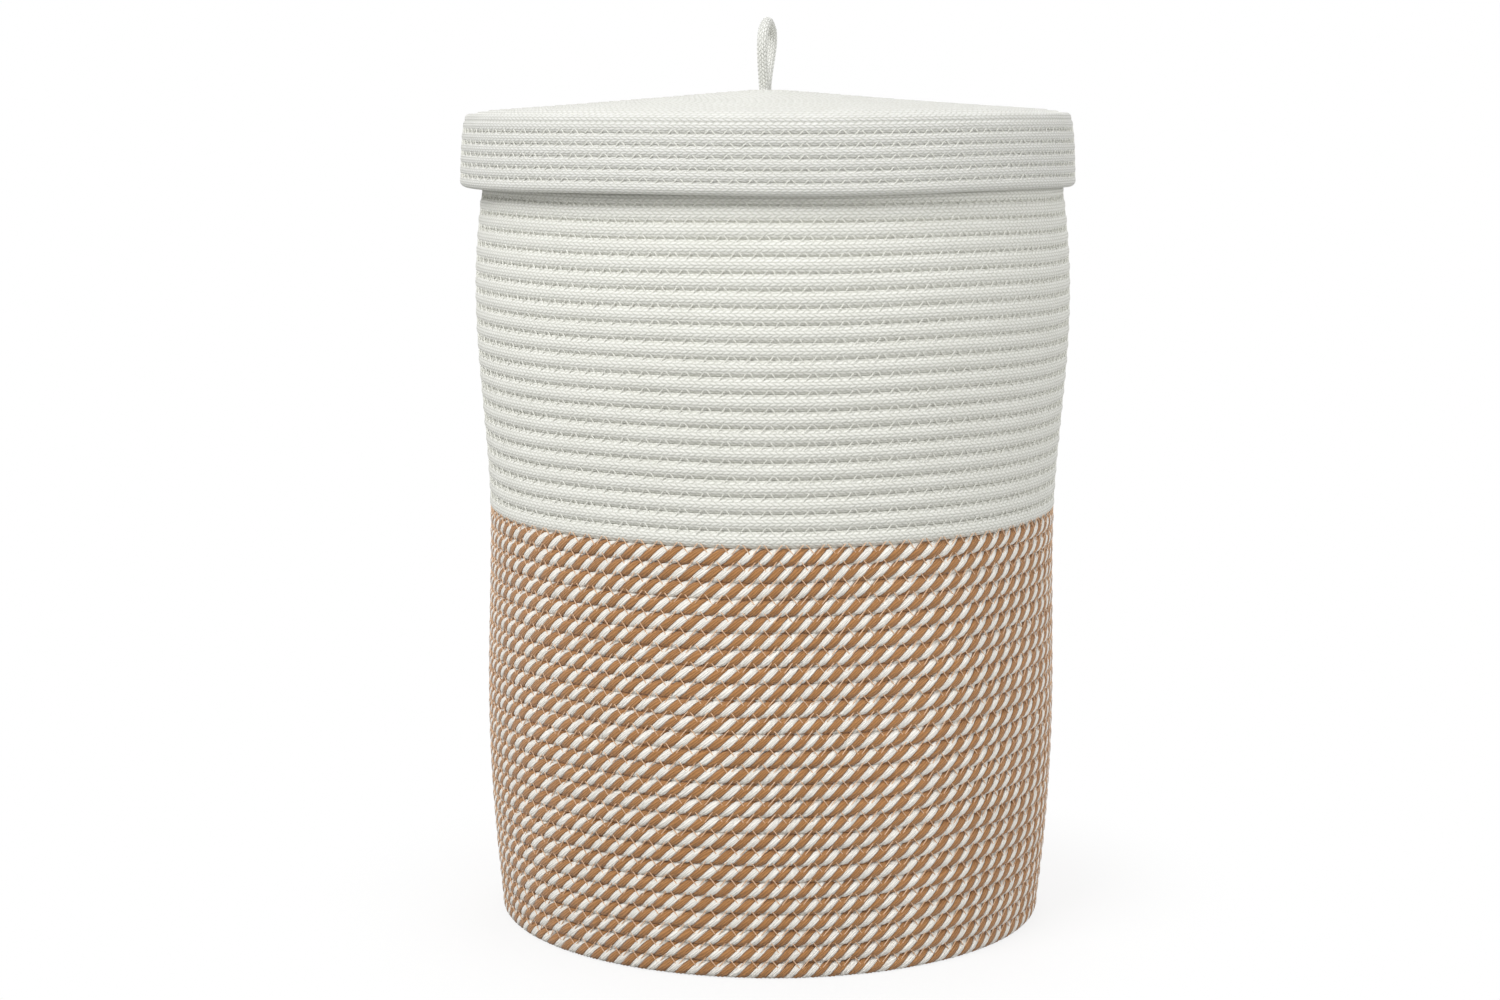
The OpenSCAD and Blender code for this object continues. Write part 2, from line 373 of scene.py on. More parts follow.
def plait(along, across, cells):
    """Height, 0 to 1, of a braid: cells columns of slanted yarns that lean left and right by
    turns. along is in yarns and across is the share of the way round the cord."""
    column = np.floor(across * cells)
    inside = across * cells - column - 0.5
    lean = 1 - 2 * (column % 2)
    yarn = (along + 0.5 * (column % 2) + YARN_SLANT * lean * inside) % 1 - 0.5
    return np.sqrt(np.clip(1 - 4 * yarn**2, 0, 1)) * np.sqrt(1 - YARN_DIP * inside**2)


# ---------------------------------------------------------------- materials


class Nodes:
    """A small helper for writing the node tree of a material or a world."""

    def __init__(self, owner):
        owner.use_nodes = True
        self.owner = owner
        self.tree = owner.node_tree
        self.shader = self.tree.nodes.get("Principled BSDF")

    def add(self, kind, **settings):
        node = self.tree.nodes.new(kind)
        for key, value in settings.items():
            setattr(node, key, value)
        return node

    def link(self, source, target):
        self.tree.links.new(source, target)

    def put(self, socket, value):
        """Links a socket to the one that is given, or sets it to a constant."""
        if isinstance(value, bpy.types.NodeSocket):
            self.link(value, socket)
        else:
            socket.default_value = value

    def math(self, operation, a, b=0.0, c=0.0):
        node = self.add("ShaderNodeMath", operation=operation)
        for socket, value in zip(node.inputs, (a, b, c)):
            self.put(socket, value)
        return node.outputs[0]

    def times(self, a, b):
        return self.math("MULTIPLY", a, b)

    def times_plus(self, a, b, c):
        return self.math("MULTIPLY_ADD", a, b, c)

    def mix(self, share, a, b):
        node = self.add("ShaderNodeMix", data_type="RGBA")
        self.put(node.inputs["Factor"], share)
        self.put(node.inputs[6], a)
        self.put(node.inputs[7], b)
        return node.outputs[2]

    def ramp(self, value, start, end, low, high, kind="LINEAR"):
        """low up to start, high from end on and a ramp between them."""
        node = self.add("ShaderNodeMapRange", interpolation_type=kind)
        sockets = ("Value", "From Min", "From Max", "To Min", "To Max")
        for socket, given in zip(sockets, (value, start, end, low, high)):
            self.put(node.inputs[socket], given)
        return node.outputs["Result"]

    def noise(self, x, y, scale=1.0, detail=2.0):
        """Noise from 0 to 1, with one feature in x and y for each 1 / scale."""
        place = self.add("ShaderNodeCombineXYZ")
        self.put(place.inputs[0], x)
        self.put(place.inputs[1], y)
        node = self.add("ShaderNodeTexNoise")
        self.link(place.outputs[0], node.inputs["Vector"])
        node.inputs["Scale"].default_value = scale
        node.inputs["Detail"].default_value = detail
        return node.outputs["Fac"]

    def uv(self):
        """The place along the rope, in mm, and the share of the way round it."""
        node = self.add("ShaderNodeUVMap", uv_map="rope")
        split = self.add("ShaderNodeSeparateXYZ")
        self.link(node.outputs[0], split.inputs[0])
        return split.outputs[0], split.outputs[1]

    def backdrop_rays(self):
        """1 for rays that show the backdrop, and 0 for those that light the hamper."""
        path = self.add("ShaderNodeLightPath").outputs
        seen = self.math("MAXIMUM", path["Is Camera Ray"], path["Is Glossy Ray"])
        return self.math("MAXIMUM", seen, path["Is Transmission Ray"])

    def finish(self, colour, relief, depth, roughness=0.9, sheen=0.25):
        """Cloth of a colour, with a relief that stands out depth metres where it is 1."""
        bump = self.add("ShaderNodeBump")
        self.link(relief, bump.inputs["Height"])
        bump.inputs["Distance"].default_value = depth
        self.link(colour, self.shader.inputs["Base Color"])
        self.link(bump.outputs[0], self.shader.inputs["Normal"])
        self.shader.inputs["Roughness"].default_value = roughness
        self.shader.inputs["Specular IOR Level"].default_value = 0.2
        self.shader.inputs["Sheen Weight"].default_value = sheen
        self.shader.inputs["Sheen Roughness"].default_value = 0.6
        return self.owner


def linear(r, g, b):
    """An sRGB colour, 0 to 255, as the linear one that shaders take."""
    def one(c):
        c /= 255
        return c / 12.92 if c <= 0.04045 else ((c + 0.055) / 1.055) ** 2.4
    return one(r), one(g), one(b), 1.0


STRAND_TOP = 7 / 9         # share of a strand's section that faces outwards
STRAND_YARNS = 6.0         # yarns round a strand
YARNS_A_MM = 0.16          # yarns that a line along a strand crosses in a mm
YARN_PLIES = 3             # plies of a braid's yarn
THREAD_TWIST = 0.7         # turns of a thread's plies in a mm
STRAND_BUMP, BRAID_BUMP, THREAD_BUMP = 0.28 * MM, 0.5 * MM, 0.06 * MM

# In each material below, the colour's mix is 0 where it is dark and 1 where it is light: random
# tone of the fibres, and painted shade where yarns, plies or strands sink between each other


def strand_material(name, light, dark, sheen):
    """Cotton strand: yarns laid along it at a slant, with random tone in its fibres and painted
    shade: darker between its yarns and where it meets its neighbours.
    """
    n = Nodes(bpy.data.materials.new(name))
    u, v = n.uv()
    drift = n.noise(n.times(u, 0.05), n.times(v, 2.0), detail=1.0)
    slant = n.times_plus(u, YARNS_A_MM, n.times(v, STRAND_YARNS))
    slant = n.times_plus(drift, 2.0, slant)
    yarn = n.math("SINE", n.times(slant, TURN))
    fibre = n.noise(n.times(u, 0.35), n.times(v, 12.0), scale=2.2, detail=4.0)
    cloud = n.noise(n.times(u, 0.03), v)
    # Painted shade: the colour darkens towards the strand's sides, where it meets its neighbours in
    # the valleys
    off_middle = n.math("ABSOLUTE", n.times_plus(v, 2 / STRAND_TOP, -1.0))
    edge = n.math("POWER", n.math("MINIMUM", off_middle, 1.0), 4.0)
    # Yarn crests lighter than the hollows between them, which is painted shade; fibre and cloud are
    # random tone
    tone_and_painted_shade = n.times_plus(yarn, 0.24, n.times(fibre, 1.2))
    tone_and_painted_shade = n.math("ADD", tone_and_painted_shade, n.times_plus(cloud, 0.6, -0.25))
    tone_and_painted_shade = n.times_plus(edge, -0.45, tone_and_painted_shade)
    relief = n.times_plus(yarn, 0.6, fibre)
    return n.finish(n.mix(tone_and_painted_shade, dark, light), relief, STRAND_BUMP, sheen=sheen)


def braid_material(name, light, dark, cells, yarn_length):
    """Braided cotton sleeve, the same plait as in plait(), with finer yarns within each one. Its
    colour has random tone, and painted shade where the yarns dip between each other.
    """
    n = Nodes(bpy.data.materials.new(name))
    u, v = n.uv()
    place_across = n.times(v, float(cells))
    column = n.math("FLOOR", place_across)
    inside = n.math("SUBTRACT", n.math("SUBTRACT", place_across, column), 0.5)
    odd = n.math("FLOORED_MODULO", column, 2.0)
    lean = n.times_plus(odd, -2.0, 1.0)
    bend = n.times(n.noise(n.times(u, 0.05), v), 0.5)
    along = n.times_plus(u, MM / yarn_length, n.times_plus(odd, 0.5, bend))
    along = n.times_plus(n.times(lean, inside), YARN_SLANT, along)
    yarn = n.math("SUBTRACT", n.math("FRACT", along), 0.5)
    round_yarn = n.math("SQRT", n.times_plus(n.times(yarn, yarn), -4.0, 1.0))
    round_end = n.math("SQRT", n.times_plus(n.times(inside, inside), -YARN_DIP, 1.0))
    height = n.times(round_yarn, round_end)
    ply = n.math("SINE", n.times(along, YARN_PLIES * TURN))
    fibre = n.noise(n.times(u, 0.6), n.times(v, 20.0), scale=2.0, detail=3.0)
    cloud = n.noise(n.times(u, 0.03), v)
    # Yarn crests lighter and the dips between yarns darker, which is painted shade; fibre and cloud
    # are random tone
    tone_and_painted_shade = n.times_plus(height, 0.9, n.times_plus(fibre, 0.4, -0.3))
    tone_and_painted_shade = n.math("ADD", tone_and_painted_shade, n.times_plus(cloud, 0.4, -0.15))
    relief = n.math("ADD", height, n.times_plus(ply, 0.05, n.times(fibre, 0.2)))
    return n.finish(n.mix(tone_and_painted_shade, dark, light), relief, BRAID_BUMP)


def thread_material(name, light, dark):
    """Sewing thread: plies twisted together, with painted shade between the plies and random tone.
    """
    n = Nodes(bpy.data.materials.new(name))
    u, v = n.uv()
    ply = n.math("SINE", n.times(n.times_plus(u, THREAD_TWIST, v), TURN))
    # Painted shade between the plies, and random tone from the noise
    tone_and_painted_shade = n.times_plus(ply, 0.2, n.noise(n.times(u, 0.2), v))
    return n.finish(n.mix(tone_and_painted_shade, dark, light), ply, THREAD_BUMP, roughness=0.6, sheen=0.1)


brown = strand_material("brown_strand", linear(188, 135, 82), linear(142, 96, 52), 0.3)
cream = strand_material("cream_strand", linear(255, 252, 245), linear(240, 234, 223), 0.5)
braid = braid_material("braided_rope", linear(241, 241, 236), linear(208, 208, 197),
                       WALL_CELLS, WALL_YARN)
lid_braid = braid_material("lid_rope", linear(235, 235, 232), linear(200, 200, 190),
                           LID_CELLS, LID_YARN)
cord_braid = braid_material("loop_cord", linear(240, 240, 236), linear(200, 201, 193),
                            CORD_CELLS, CORD_YARN)
peach_thread = thread_material("peach_thread", linear(238, 206, 176), linear(214, 174, 138))
white_thread = thread_material("white_thread", linear(246, 246, 240), linear(222, 222, 213))

# ---------------------------------------------------------------- twisted rope

STRANDS = 6                # three brown and three cream, by turns
LAY = 38.5 * MM            # length of rope in which a strand goes round it once
WALL_LAYS = 29.343         # how often it does so in one round of the wall: the colours line up
# How the lay wanders: radians, radians in a turn, and place. The first two repeat in each round
LAY_WAVES = ((0.3, 9 * TURN, 2.0), (0.5, 4 * TURN, 0), (0.14, 4.1, 0), (0.1, 9.7, 0))
BROWN_SHARE = 0.53         # how much of the rope's surface the brown strands take
VALLEY = 0.91              # radius between two strands, as a share of the rope's
PINCH = 0.17               # how much steeper strands are on the faces than in the grooves
HEART = 0.4                # how far in the strands go, as a share of the rope's radius
HALF_HEIGHT = 0.54         # from a round's middle to its top, in rope diameters
TWISTED_POWER = 2.6        # how square a round is pressed: 2 is not at all
STRAND_SWELL = 0.02        # how unevenly thick a strand is
STRAND_WAVES = 5 * MM, 13 * MM
STRAND_RING = 2.6 * MM
SECTION = np.array([-1, -0.82, -0.5, -0.17, 0.17, 0.5, 0.82, 1])

base_end, lower_end = BASE_ROUNDS + 1, BASE_ROUNDS + 1 + LOWER_ROUNDS
wall_end = lower_end + UPPER_ROUNDS
ROPE_START = 0.62          # turn at which the rope starts, close to the middle of the base
TWISTED_PIECE, BRAIDED_PIECE = 5, 8             # rounds of the wall that make one piece


def lay_angle(turns):
    """How far the strands have gone round the rope: by its length in the base, and by the
    angle round the hamper in the wall, where the rounds' stripes line up."""
    flat = basket_coil.length(np.minimum(turns, base_end)) / LAY
    upright = WALL_LAYS * np.maximum(turns - base_end, 0)
    wander = sum(size * np.sin(rate * turns + place) for size, rate, place in LAY_WAVES)
    return TURN * (flat + upright) + wander


def steeper(angles):
    """Strands cross the rope's outer and inner face steeply, and are pinched between rounds."""
    return angles + PINCH * np.sin(2 * angles)


def twisted_rope(label, start, end, node):
    """The basket's twisted rope between two turns, as one piece for each colour."""
    turns = basket_coil.walk(start, end, STRAND_RING)
    points = basket_coil.at(turns)
    out, up = basket_coil.frames(turns)
    along = basket_coil.length(turns)
    lay = lay_angle(turns)[:, None]
    tip = domed(along - basket_coil.length(ROPE_START), LOWER_D / 2)[:, None]
    parts = {"brown": [], "cream": []}
    for s in range(STRANDS):
        colour = "brown" if s % 2 == 0 else "cream"
        share = BROWN_SHARE if colour == "brown" else 1 - BROWN_SHARE
        angles = steeper(lay + TURN * (s + SECTION * share) / STRANDS)
        crest = 1 + STRAND_SWELL * swell(along, STRAND_WAVES, (2.1 * s, s))
        height = VALLEY + (crest[:, None] - VALLEY) * np.sqrt(1 - SECTION**2)
        radius = pressed(angles, LOWER_D / 2, LOWER_D * HALF_HEIGHT, TWISTED_POWER) * height
        heart = steeper(lay + TURN * s / STRANDS)
        angles = np.concatenate([angles, heart], axis=1)
        radius = np.concatenate([radius, np.full_like(heart, HEART * LOWER_D / 2)], axis=1)
        rings = ring_points(points, out, up, radius * tip, angles)
        rings[..., 2] = np.maximum(rings[..., 2], 0)
        parts[colour].append(tube(rings, along))
    for colour, material in (("brown", brown), ("cream", cream)):
        piece(f"{label}_{colour}", parts[colour], material, "basket", "twisted_rope", node)


def in_pieces(first, last, rounds_each):
    """Ranges of turns from first to last, a few rounds each."""
    edges = list(range(first, last, rounds_each)) + [last]
    return list(zip(edges[:-1], edges[1:]))


twisted_rope("base_rope", ROPE_START, base_end, "base_rope")
for number, (first, last) in enumerate(in_pieces(base_end, lower_end, TWISTED_PIECE), 1):
    twisted_rope(f"lower_wall_rope_{number}", first, last, "lower_wall_rope")

# ---------------------------------------------------------------- braided rope

Rope = namedtuple("Rope", "coil diameter material body slot")
WHITE_ROPE = Rope(basket_coil, UPPER_D, braid, "basket", "braided_rope")
LID_ROPE = Rope(lid_coil, LID_D, lid_braid, "lid", "lid_rope")

BRAID_RING = 4 * MM
BRAID_SIDES = 24
ROUND_SIDES = np.arange(BRAID_SIDES) / BRAID_SIDES * TURN
BRAID_SWELL = 0.012        # how unevenly thick a braided rope is
BRAID_WAVES = 47 * MM, 19 * MM
WALL_POWER = 2.25, 0.4     # how square a round is pressed, and how much more so on its upper side
TOP_POWER = 1.1, 0.6       # what is added to both on the lid's top
TOP_OVERLAP = 0.05         # how far its rounds reach into each other, in rope diameters
FLAT_FADE = 4              # rounds over which it changes from flat to round at its edge

RIM_TAPER = STEP_LENGTH / (TURN * upper[-1][0])     # part of a turn in which a rope thins out
TAIL = RIM_TAPER * 0.3     # part of a turn that it goes on past the last round
THINNING, THINNEST = 0.97, 0.05                 # how much it thins, and what is left at least
LID_SPLIT = 19             # round at which the lid's rope goes on as a second piece
lid_end = TOP_ROUNDS + SKIRT_ROUNDS


def braid_section(coil, turns, diameter):
    """Radii round a braided rope at each turn: round in the walls, flat on the lid's top."""
    inside = TOP_ROUNDS - turns[:, None] if coil is lid_coil else np.full((1, 1), -1.0)
    flat, close = smooth((inside - 1) / FLAT_FADE), smooth(inside + 0.5)
    upper_side = np.sin(ROUND_SIDES)
    power = WALL_POWER[0] + WALL_POWER[1] * upper_side
    power = power + flat * (TOP_POWER[0] + TOP_POWER[1] * upper_side)
    half_width = diameter * (0.5 + TOP_OVERLAP * close)
    return pressed(ROUND_SIDES, half_width, diameter * HALF_HEIGHT, power)


def braided_rope(label, rope, start, end, node, thick=None):
    """Braided rope between two turns. thick gives its thickness and its rise at each turn."""
    turns = rope.coil.walk(start, end, BRAID_RING)
    points = rope.coil.at(turns)
    out, up = rope.coil.frames(turns)
    along = rope.coil.length(turns)
    size = 1 + BRAID_SWELL * swell(along, BRAID_WAVES, (0, 1))
    if thick is not None:
        share, rise = thick(turns, along)
        points = points + up * (rise * rope.diameter)[:, None]
        size = size * share
    section = size[:, None] * braid_section(rope.coil, turns, rope.diameter)
    rings = ring_points(points, out, up, section, ROUND_SIDES)
    piece(label, [tube(rings, along)], rope.material, rope.body, rope.slot, node)


def thin_end(last_turn):
    """A rope's end that thins out and rises where the round before it steps to its height."""
    def thick(turns, along):
        step = smooth((turns - last_turn) / RIM_TAPER + 0.5)
        share = np.where(turns > last_turn - RIM_TAPER / 2,
                         np.maximum(1 - THINNING * step, THINNEST), 1.0)
        return share, (1 - share) / 2
    return thick


def blunt_start(turns, along):
    """A rope's start that is cut and tucked in: a dome."""
    return domed(along, LID_D / 2), 0 * along


for number, (first, last) in enumerate(in_pieces(lower_end, wall_end, BRAIDED_PIECE), 1):
    tail, thick = (TAIL, thin_end(last)) if last == wall_end else (0, None)
    braided_rope(f"upper_wall_rope_{number}", WHITE_ROPE, first, last + tail, "upper_wall_rope",
                 thick)
braided_rope("lid_top_braid_1", LID_ROPE, 0, LID_SPLIT, "lid_top_rope", blunt_start)
braided_rope("lid_top_braid_2", LID_ROPE, LID_SPLIT, TOP_ROUNDS, "lid_top_rope")
braided_rope("lid_skirt_braid", LID_ROPE, TOP_ROUNDS, lid_end + TAIL, "lid_skirt_rope",
             thin_end(lid_end))

# ---------------------------------------------------------------- stitches

# leg is the distance between two bends of the zigzag, along the rope
Seam = namedtuple("Seam", "coil diameter leg material body slot")
WALL_LEG, LID_LEG = 6.2 * MM, 5.4 * MM
LOWER_SEAM = Seam(basket_coil, LOWER_D, WALL_LEG, peach_thread, "basket", "tan_thread")
CHANGE_SEAM = LOWER_SEAM._replace(slot="white_thread")
UPPER_SEAM = Seam(basket_coil, UPPER_D, WALL_LEG, white_thread, "basket", "white_thread")
LID_SEAM = Seam(lid_coil, LID_D, LID_LEG, white_thread, "lid", "white_thread")

THREAD_SIDES = 6
THREAD_R = 0.34 * MM
STITCH_REACH = 0.38        # from the groove to a stitch's end, in rope diameters
STITCH_DEPTH = 0.86        # from the rope's middle out to the stitches, in rope radii
STITCH_BEND = 0.16         # share of a leg in which the thread comes up out of the rope
STITCH_UNEVEN, UNEVEN_RATE = 0.06, 71           # how much stitches' reach varies, and how often
ROW_START = 0.02           # part of a turn by which a row starts late
ROW_CYCLE, ROW_GROWTH = 5, 0.004                # rows after which the legs' growth starts again


def stitch_row(seam, start, end, leg, side):
    """Zigzag thread in the groove between a rope's turns start to end and the next round. Each
    leg crosses the groove, and its ends are sunk in the two ropes."""
    length = distances(seam.coil.at(np.linspace(start, end, LENGTH_STEPS)))[-1]
    count = max(6, int(round(length / leg)))
    turns = np.linspace(start, end, count + 1)
    here, there = seam.coil.at(turns), seam.coil.at(turns + 1)
    middle, across = (here + there) / 2, unit(there - here)
    out = side * np.cross(directions(middle), across)
    zigzag = np.where(np.arange(count + 1) % 2 == 0, 1.0, -1.0)[:, None]
    uneven = 1 + STITCH_UNEVEN * np.sin(turns * UNEVEN_RATE + side)[:, None]
    knots = middle + across * zigzag * STITCH_REACH * seam.diameter * uneven
    knots = knots + out * STITCH_DEPTH * seam.diameter / 2
    route = np.empty((3 * count + 1, 3))
    route[0::3] = knots - out * THREAD_R
    route[1::3] = knots[:-1] * (1 - STITCH_BEND) + knots[1:] * STITCH_BEND
    route[2::3] = knots[:-1] * STITCH_BEND + knots[1:] * (1 - STITCH_BEND)
    leg_of = np.arange(len(route)) / 3
    outward = unit(np.stack([np.interp(leg_of, np.arange(len(out)), axis) for axis in out.T], -1))
    tangent = directions(route)
    up = unit(np.cross(outward, tangent))
    sides = np.arange(THREAD_SIDES) / THREAD_SIDES * TURN
    rings = ring_points(route, np.cross(tangent, up), up, THREAD_R, sides[None, :])
    rings[..., 2] = np.maximum(rings[..., 2], 0)
    return tube(rings, distances(route))


def stitches(node, seam, grooves, inner_grooves=None):
    """Rows of stitches in the grooves after the given rounds, on both faces."""
    inner_grooves = grooves if inner_grooves is None else inner_grooves
    for face, side, which in (("outer", 1, grooves), ("inner", -1, inner_grooves)):
        rows = []
        for n in which:
            leg = seam.leg * (1 + ROW_GROWTH * (n % ROW_CYCLE))
            rows.append(stitch_row(seam, n + ROW_START, n + 1 + ROW_START, leg, side))
        piece(f"{node}_{face}", rows, seam.material, seam.body, seam.slot, node)


# The corner between base and wall is sewn from below only, and the lid's from above only
stitches("base_stitches", LOWER_SEAM, range(1, base_end), range(1, base_end - 1))
stitches("lower_wall_stitches", LOWER_SEAM, range(base_end, lower_end - 1))
stitches("change_stitches", CHANGE_SEAM, [lower_end - 1])
stitches("upper_wall_stitches", UPPER_SEAM, range(lower_end, wall_end - 1))
stitches("lid_top_stitches", LID_SEAM, range(TOP_ROUNDS), range(TOP_ROUNDS - 1))
stitches("lid_skirt_stitches", LID_SEAM, range(TOP_ROUNDS, lid_end - 1))

# ---------------------------------------------------------------- loop

loop_joint = next(j for j in frame["joints"] if j["name"] == "loop_fold")
HINGE_Z = float(loop_joint["pos_m"][2])
loop_low, loop_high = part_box("loop_handle")
ends_low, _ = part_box("loop_ends")
knot_low, knot_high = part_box("loop_knot")
knot_z = (knot_low[2] + knot_high[2]) / 2
CORD_SIDES = 48
CORD_RING = 0.5 * MM
CORD_RELIEF = 0.13         # how far the plait stands out, as a share of the cord's radius
CORD_DOME = 0.8            # length of the dome at a cord's end, in radii
CURVE_STEPS = 24           # steps between two control points of a curve


def curve_points(controls, step):
    """A smooth path through control points, with rings step apart."""
    controls = np.array(controls)
    padded = np.concatenate([[2 * controls[0] - controls[1]], controls,
                             [2 * controls[-1] - controls[-2]]])
    s = np.linspace(0, 1, CURVE_STEPS, endpoint=False)[:, None]
    fine = []
    for p0, p1, p2, p3 in zip(padded, padded[1:], padded[2:], padded[3:]):
        fine.append(0.5 * (2 * p1 + (p2 - p0) * s + (2 * p0 - 5 * p1 + 4 * p2 - p3) * s**2
                           + (3 * p1 - p0 - 3 * p2 + p3) * s**3))
    fine = np.concatenate(fine + [controls[-1:]])
    length = distances(fine)
    where = np.linspace(0, length[-1], int(length[-1] / step) + 1)
    return np.stack([np.interp(where, length, axis) for axis in fine.T], -1)


def cord_tube(path, radius, reference=(1, 0, 0)):
    """A braided cord along a path, with the plait in relief and domed ends."""
    tangent = directions(path)
    side = np.array(reference, float)
    sides = []
    for t in tangent:
        side = unit(side - t * (side @ t))
        sides.append(side)
    sides = np.array(sides)
    along = distances(path)
    share = np.arange(CORD_SIDES) / CORD_SIDES
    relief = plait(along[:, None] / CORD_YARN, share[None, :], CORD_CELLS)
    ends = domed(along, radius * CORD_DOME) * domed(along[::-1], radius * CORD_DOME)
    size = radius * (1 - CORD_RELIEF * (1 - relief)) * ends[:, None]
    return tube(ring_points(path, sides, np.cross(sides, tangent), size, share * TURN), along)


# The cord comes up through the eye, over the bow and back: seen edge-on it leans to the right
half_w = (loop_high[1] - loop_low[1]) / 2 - CORD_D / 2
leg_y = CORD_D / 2 * 1.02  # the two legs all but touch
top_z = loop_high[2] - CORD_D / 2
bow_z = top_z - half_w
TWIST = 0.03               # how far the loop is turned out of its plane, as a slope
LEAN = 1.6 * MM            # how far its top leans to the right
FOOT_X = -4.3 * MM         # where it stands on the lid, which sits to the left


def loop_place(y, z):
    """A place on the loop: it leans over and twists a little between its foot and its top."""
    up = smooth((z - HINGE_Z) / (top_z - HINGE_Z))
    return (FOOT_X + LEAN * up + TWIST * y * up, y, z)


def between(start, end, share):
    return start * (1 - share) + end * share


# One leg, from its end inside the lid to the top of the bow: place sideways and height
loop_half = [
    (leg_y, ends_low[2]), (leg_y, knot_z), (leg_y, HINGE_Z - 5 * MM), (leg_y, HINGE_Z),
    (between(leg_y, half_w, 0.45), between(HINGE_Z, bow_z, 0.38)),
    (half_w * 0.93, between(HINGE_Z, bow_z, 0.8)), (half_w, bow_z + half_w * 0.2),
    (half_w * 0.74, bow_z + half_w * 0.68), (0, top_z),
]
loop_path = [loop_place(y, z) for y, z in loop_half]
loop_path += [loop_place(-y, z) for y, z in loop_half[-2::-1]]
loop = tubes_object("loop_cord", [cord_tube(curve_points(loop_path, CORD_RING), CORD_D / 2)],
                    cord_braid)
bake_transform(loop)
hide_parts("loop_ends", "loop_handle")

KNOT_TURNS = 2.6
KNOT_FILL = 0.98           # how much of the CAD knot's height the wraps take
knot_r = (knot_high[0] - knot_low[0]) / 2 - CORD_D / 2
wound = np.linspace(0, KNOT_TURNS * TURN, int(KNOT_TURNS * TURN * knot_r / CORD_RING))
knot_rise = (knot_high[2] - knot_low[2] - CORD_D) * KNOT_FILL
knot_path = np.stack([
    FOOT_X + knot_r * np.cos(wound), knot_r * np.sin(wound),
    knot_z + (wound / wound[-1] - 0.5) * knot_rise,
], -1)
piece("loop_knot_wraps", [cord_tube(knot_path, CORD_D / 2, (0, 0, 1))], cord_braid, "lid", "cord",
      "loop_knot")

# ---------------------------------------------------------------- stage, light and camera

FLOOR_HALF, FLOOR_GAP = 6.0, 0.3 * MM           # half its width, and its gap under the hamper
FLOOR_GREY = (0.86, 0.86, 0.86, 1)              # what takes the shadow
FLOOR_BOUNCE = (0.4, 0.4, 0.39, 1)              # what lights the hamper from below
SHADOW_R, WHITE_R = 0.19, 0.34                  # radii between which the floor turns white
NEAR_WHITE = 0.8           # how white it is within the smaller one
WHITE = (1, 1, 1, 1)
SKY_LOW, SKY_HIGH = 0.55, 0.76                  # the sky's light on the hamper at these slopes:
SLOPE_LOW, SLOPE_HIGH = -0.3, 1.0

# Name, azimuth from the photo's side in degrees, distance, height, height aimed at, size, watts
LAMPS = (
    ("key", -38, 2.4, 2.2, 0.3, 1.6, 55),
    ("fill", 60, 2.6, 1.0, 0.25, 2.2, 23),
    ("back", 170, 2.4, 1.2, 0.3, 1.6, 20),
)

CAMERA_DISTANCE, CAMERA_HEIGHT = 1.7924, 0.5287
CAMERA_DOWN, CAMERA_LEFT = 8.2, 0.45            # degrees that it looks down and to the left
SENSOR_MM, LENS_MM = 36.0, 65.64


def floor_material():
    """Pale and matt under and near the hamper, where its shadow falls, and white to the camera
    farther out. Light that reaches the hamper off it is that of a mid grey floor."""
    n = Nodes(bpy.data.materials.new("floor"))
    n.shader.inputs["Base Color"].default_value = FLOOR_GREY
    n.shader.inputs["Roughness"].default_value = 0.9
    n.shader.inputs["Specular IOR Level"].default_value = 0.1
    distance = n.add("ShaderNodeVectorMath", operation="LENGTH")
    n.link(n.add("ShaderNodeTexCoord").outputs["Object"], distance.inputs[0])
    far = n.ramp(distance.outputs["Value"], SHADOW_R, WHITE_R, NEAR_WHITE, 1.0, "SMOOTHSTEP")
    dull = n.add("ShaderNodeBsdfDiffuse")
    dull.inputs["Color"].default_value = FLOOR_BOUNCE
    shown = n.add("ShaderNodeMixShader")
    n.link(far, shown.inputs[0])
    n.link(n.shader.outputs[0], shown.inputs[1])
    n.link(n.add("ShaderNodeEmission").outputs[0], shown.inputs[2])
    both = n.add("ShaderNodeMixShader")
    n.link(n.backdrop_rays(), both.inputs[0])
    n.link(dull.outputs[0], both.inputs[1])
    n.link(shown.outputs[0], both.inputs[2])
    n.link(both.outputs[0], n.tree.nodes["Material Output"].inputs["Surface"])
    return n.owner


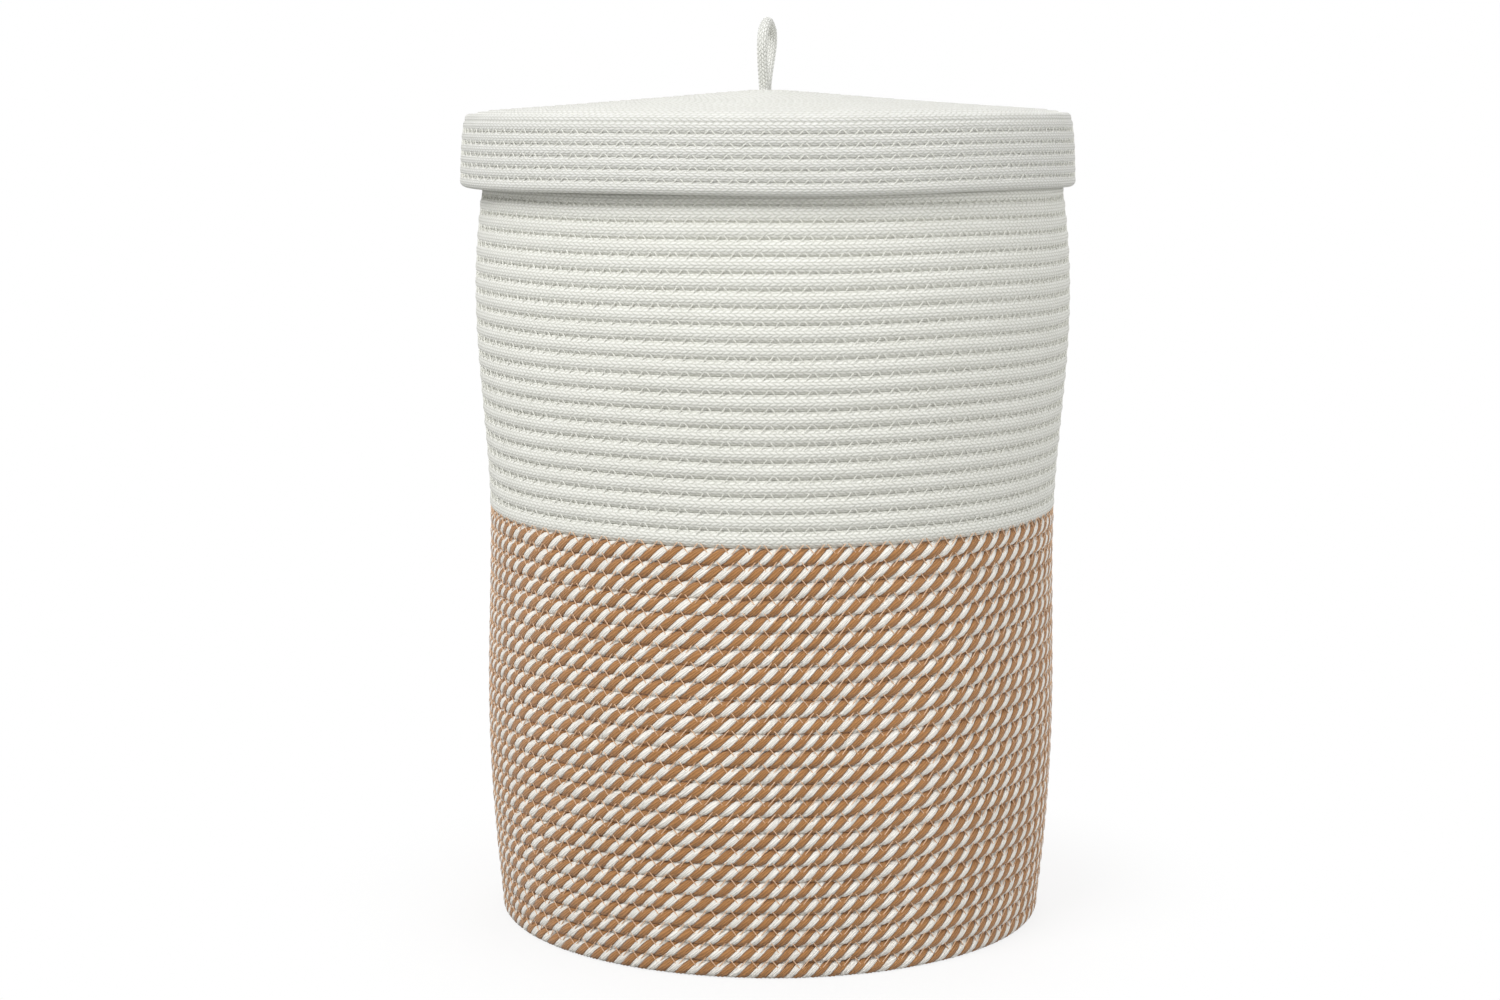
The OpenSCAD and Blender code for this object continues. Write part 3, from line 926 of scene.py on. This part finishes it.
def stage():
    """A pale floor just under the hamper."""
    mesh = bpy.data.meshes.new("floor")
    corners = [(x * FLOOR_HALF, y * FLOOR_HALF, 0) for x, y in ((-1, -1), (1, -1), (1, 1), (-1, 1))]
    mesh.from_pydata(corners, [], [(0, 1, 2, 3)])
    floor = bpy.data.objects.new("floor", mesh)
    bpy.context.collection.objects.link(floor)
    floor.location.z = -FLOOR_GAP
    mesh.materials.append(floor_material())


def world():
    """White behind the hamper, and a soft light on it that comes more from above."""
    studio = bpy.data.worlds.new("studio")
    bpy.context.scene.world = studio
    n = Nodes(studio)
    split = n.add("ShaderNodeSeparateXYZ")
    n.link(n.add("ShaderNodeTexCoord").outputs["Generated"], split.inputs[0])
    sky = n.ramp(split.outputs[2], SLOPE_LOW, SLOPE_HIGH, SKY_LOW, SKY_HIGH)
    background = n.tree.nodes["Background"]
    n.link(n.mix(n.backdrop_rays(), sky, WHITE), background.inputs["Color"])
    background.inputs["Strength"].default_value = 1.0


def around(azimuth, distance, height):
    """A place at an azimuth from the photo's side, in degrees, positive to the right."""
    a = VIEW_AZIMUTH + math.radians(azimuth)
    return (math.sin(a) * distance, -math.cos(a) * distance, height)


def lamp(name, azimuth, distance, height, aim, size, power):
    """A square lamp, which points at the hamper's middle line."""
    data = bpy.data.lights.new(name, "AREA")
    data.shape = "SQUARE"
    data.size = size
    data.energy = power
    obj = bpy.data.objects.new(name, data)
    bpy.context.collection.objects.link(obj)
    place = around(azimuth, distance, height)
    obj.location = place
    towards = Vector((0, 0, aim)) - Vector(place)
    obj.rotation_euler = towards.to_track_quat("-Z", "Y").to_euler()


def camera():
    """The photo's camera: about level with the lid's shoulder, and looking 8 degrees down."""
    data = bpy.data.cameras.new("camera")
    data.sensor_width = SENSOR_MM
    data.lens = LENS_MM
    obj = bpy.data.objects.new("camera", data)
    bpy.context.collection.objects.link(obj)
    obj.location = around(0, CAMERA_DISTANCE, CAMERA_HEIGHT)
    pitch, yaw = math.radians(CAMERA_DOWN), math.radians(CAMERA_LEFT)
    obj.rotation_euler = (math.pi / 2 - pitch, 0, VIEW_AZIMUTH + yaw)
    data.clip_start = 0.05
    data.clip_end = 50
    bpy.context.scene.camera = obj


stage()
world()
for settings in LAMPS:
    lamp(*settings)
camera()

bpy.context.scene.view_settings.view_transform = "Standard"
